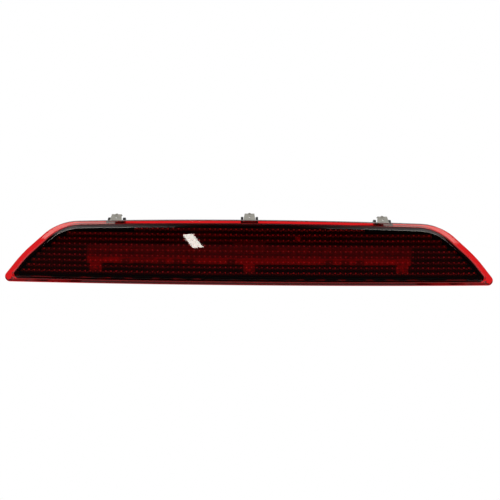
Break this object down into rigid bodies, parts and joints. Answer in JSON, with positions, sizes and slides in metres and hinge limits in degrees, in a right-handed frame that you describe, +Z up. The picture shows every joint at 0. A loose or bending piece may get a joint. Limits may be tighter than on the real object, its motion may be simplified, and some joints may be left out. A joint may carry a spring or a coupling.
{
  "type": "third brake light",
  "caption": "Bowed red lens with slanted ends over a black housing with LED board, spring clips on the top edge and a plug socket on the back.",
  "frame": {"origin": "midway between the two locating pegs, on the back face of the housing, at half the height of the lens", "axes": "+X to the right seen from the front, +Y backwards out of the back face along the pegs, +Z up; the lens faces -Y"},
  "size_m": [0.4, 0.0412, 0.0573],
  "materials": {
    "red_lens": "clear red, polished",
    "black_plastic": "moulded, fine grain",
    "foam": "closed-cell foam",
    "vent_film": "matt film",
    "socket_plastic": "moulded",
    "seal_rubber": "silicone",
    "terminal_brass": "tinned",
    "board_white": "white solder mask",
    "led_epoxy": "clear epoxy",
    "chip_black": "moulded",
    "chip_pale": "moulded, light grey",
    "chip_tan": "ceramic",
    "zinc_steel": "zinc plated",
    "spring_steel": "grey coated"
  },
  "bodies": {
    "lamp": {"lens": "red_lens", "housing": "black_plastic", "body_seal": "foam", "vent_membrane": "vent_film", "connector_header": "socket_plastic", "connector_seal": "seal_rubber", "terminal_left": "terminal_brass", "terminal_right": "terminal_brass", "led_board": "board_white", "leds": "led_epoxy", "resistors": "chip_black", "driver_chip": "chip_pale", "capacitors": "chip_tan", "suppressor_diode": "chip_pale", "board_screws": "zinc_steel", "clip_saddle_left": "spring_steel", "clip_saddle_centre": "spring_steel", "clip_saddle_right": "spring_steel"},
    "clip_left": {"clip_leg_left": "spring_steel"},
    "clip_centre": {"clip_leg_centre": "spring_steel"},
    "clip_right": {"clip_leg_right": "spring_steel"}
  },
  "joints": [
    {"name": "clip_left_flex", "type": "hinge", "parent": "lamp", "child": "clip_left", "pos_m": [-0.1092, -0.00907, 0.02353], "axis": [-1, 0, 0], "range_deg": [0, 12], "stiffness_Nm_per_rad": 0.4},
    {"name": "clip_centre_flex", "type": "hinge", "parent": "lamp", "child": "clip_centre", "pos_m": [0, -0.00907, 0.025], "axis": [-1, 0, 0], "range_deg": [0, 12], "stiffness_Nm_per_rad": 0.4},
    {"name": "clip_right_flex", "type": "hinge", "parent": "lamp", "child": "clip_right", "pos_m": [0.1092, -0.00907, 0.02353], "axis": [-1, 0, 0], "range_deg": [0, 12], "stiffness_Nm_per_rad": 0.4}
  ]
}
